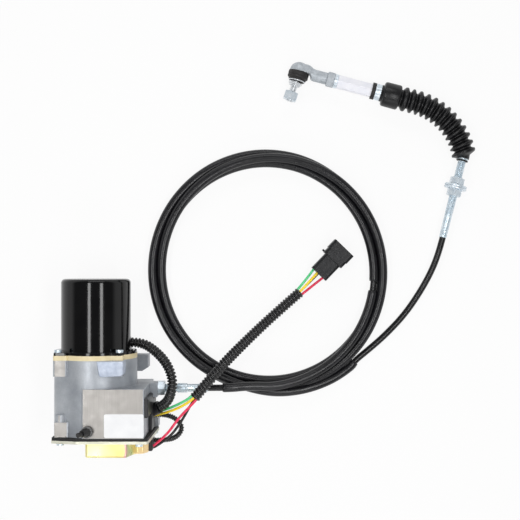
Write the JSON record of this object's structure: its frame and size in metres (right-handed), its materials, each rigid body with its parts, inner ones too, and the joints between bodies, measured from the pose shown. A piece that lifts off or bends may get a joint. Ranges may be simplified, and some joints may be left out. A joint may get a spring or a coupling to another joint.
{
  "type": "throttle motor",
  "caption": "Geared motor in a cast housing that pulls a throttle cable, with its cable, bellows boot, ball joint end and wiring harness.",
  "frame": {"origin": "centre of the four mounting holes on the face of the feet", "axes": "+X towards the side where the cable leaves, +Y along the motor shaft towards the motor can, +Z from the feet to the machined front face"},
  "size_m": [0.4092, 0.379, 0.0961],
  "materials": {
    "can_paint": "gloss black stove enamel on drawn steel",
    "cream_plastic": "pale yellow moulded plastic, satin",
    "cast_housing": "die-cast aluminium with one machined face",
    "zinc_steel": "bright blue-white zinc plate",
    "chromate_steel": "yellow iridescent chromate on zinc plate",
    "steel": "ground steel",
    "core_iron": "laminated electrical steel",
    "copper": "enamelled copper wire",
    "magnet": "sintered ferrite",
    "bearing_bronze": "oiled sintered bronze",
    "carbon": "pressed carbon",
    "gasket": "black gasket sheet",
    "rubber": "satin black rubber",
    "black_plastic": "moulded black plastic",
    "connector_plastic": "moulded charcoal plastic",
    "conduit": "gloss black corrugated conduit",
    "cable_sheath": "charcoal extruded sheath",
    "lead_green": "green insulation",
    "lead_yellow": "yellow insulation",
    "lead_red": "red insulation",
    "lead_black": "black insulation",
    "cast_joint": "grey cast ball housing, matt",
    "tinned_brass": "tinned brass pins"
  },
  "bodies": {
    "casing": {"motor_can": "can_paint", "can_screws": "zinc_steel", "motor_end_plate": "cream_plastic", "field_magnets": "magnet", "motor_bearings": "steel", "brush_holders": "black_plastic", "carbon_brushes": "carbon", "gear_housing": "cast_housing", "ring_gear": "steel", "shaft_bushes": "bearing_bronze", "bottom_gasket": "gasket", "bottom_plate": "zinc_steel", "plate_screws": "zinc_steel", "position_sensor": "black_plastic", "sensor_cover": "chromate_steel", "cover_screws": "zinc_steel", "cover_grommet": "rubber", "vent_nipple": "rubber", "lead_entry_block": "black_plastic", "motor_lead_grommet": "rubber", "motor_end_hub": "zinc_steel", "hub_nuts": "zinc_steel", "cable_lead_in": "cable_sheath", "cable_coil": "cable_sheath", "cable_lead_out": "cable_sheath", "rod_end_hub": "zinc_steel", "hub_washers": "zinc_steel", "rod_pull_wire": "zinc_steel", "bellows_boot": "rubber", "motor_lead_conduit": "conduit", "sensor_lead_conduit": "conduit", "harness_conduit": "conduit", "lead_green": "lead_green", "lead_yellow": "lead_yellow", "lead_red": "lead_red", "lead_black": "lead_black", "harness_connector": "connector_plastic", "connector_pins": "tinned_brass"},
    "armature": {"motor_shaft": "steel", "armature_core": "core_iron", "armature_windings": "copper", "commutator": "copper", "sun_gear": "steel"},
    "carrier": {"planet_carrier": "steel"},
    "planet_1": {"planet_gear_1": "steel"},
    "planet_2": {"planet_gear_2": "steel"},
    "planet_3": {"planet_gear_3": "steel"},
    "drum": {"drum_shaft": "steel", "drum_gear": "steel", "cable_drum": "cast_housing", "pull_wire": "zinc_steel"},
    "rod": {"rod_collar": "zinc_steel", "rod_seal_ring": "rubber", "rod_sleeve": "zinc_steel", "rod_lock_nut": "zinc_steel", "ball_joint_housing": "cast_joint"},
    "seal": {"dust_seal": "rubber"},
    "clip": {"seal_clip": "steel"},
    "stud": {"ball_stud": "zinc_steel", "stud_nut": "zinc_steel"}
  },
  "joints": [
    {"name": "armature_spin", "type": "hinge", "parent": "casing", "child": "armature", "pos_m": [-0.004, 0.06, 0.042], "axis": [0, -1, 0], "range_deg": [0, 1262]},
    {"name": "carrier_spin", "type": "hinge", "parent": "casing", "child": "carrier", "pos_m": [-0.004, 0.017, 0.042], "axis": [0, -1, 0], "range_deg": [0, 253]},
    {"name": "planet_1_spin", "type": "hinge", "parent": "carrier", "child": "planet_1", "pos_m": [0.01475, 0.0248, 0.042], "axis": [0, -1, 0], "range_deg": [-674, 0]},
    {"name": "planet_2_spin", "type": "hinge", "parent": "carrier", "child": "planet_2", "pos_m": [-0.01337, 0.0248, 0.05824], "axis": [0, -1, 0], "range_deg": [-674, 0]},
    {"name": "planet_3_spin", "type": "hinge", "parent": "carrier", "child": "planet_3", "pos_m": [-0.01337, 0.0248, 0.02576], "axis": [0, -1, 0], "range_deg": [-674, 0]},
    {"name": "drum_turn", "type": "hinge", "parent": "casing", "child": "drum", "pos_m": [0.02225, 0.0034, 0.042], "axis": [0, 1, 0], "range_deg": [0, 101.5], "deforming": ["pull_wire"]},
    {"name": "rod_slide", "type": "slide", "parent": "casing", "child": "rod", "axis": [0.9668, -0.2554, 0], "range_m": [0, 0.03], "deforming": ["bellows_boot", "rod_pull_wire"]},
    {"name": "ball_tilt_across", "type": "hinge", "parent": "rod", "child": "seal", "pos_m": [0.19176, 0.3141, 0.0125], "axis": [-0.9668, 0.2554, 0], "range_deg": [-12, 12], "deforming": ["dust_seal"]},
    {"name": "ball_tilt_along", "type": "hinge", "parent": "seal", "child": "clip", "pos_m": [0.19176, 0.3141, 0.0125], "axis": [0, 0, 1], "range_deg": [-7.5, 16.5], "deforming": ["dust_seal"]},
    {"name": "ball_spin", "type": "hinge", "parent": "clip", "child": "stud", "pos_m": [0.19176, 0.3141, 0.0125], "axis": [-0.3305, -0.9438, 0], "continuous": true}
  ],
  "couplings": [
    {"joint": "carrier_spin", "follows": "armature_spin", "ratio": 0.2},
    {"joint": "planet_1_spin", "follows": "armature_spin", "ratio": -0.53333},
    {"joint": "planet_2_spin", "follows": "armature_spin", "ratio": -0.53333},
    {"joint": "planet_3_spin", "follows": "armature_spin", "ratio": -0.53333},
    {"joint": "drum_turn", "follows": "armature_spin", "ratio": 0.08},
    {"joint": "rod_slide", "follows": "armature_spin", "m_per_rad": 0.00136}
  ]
}
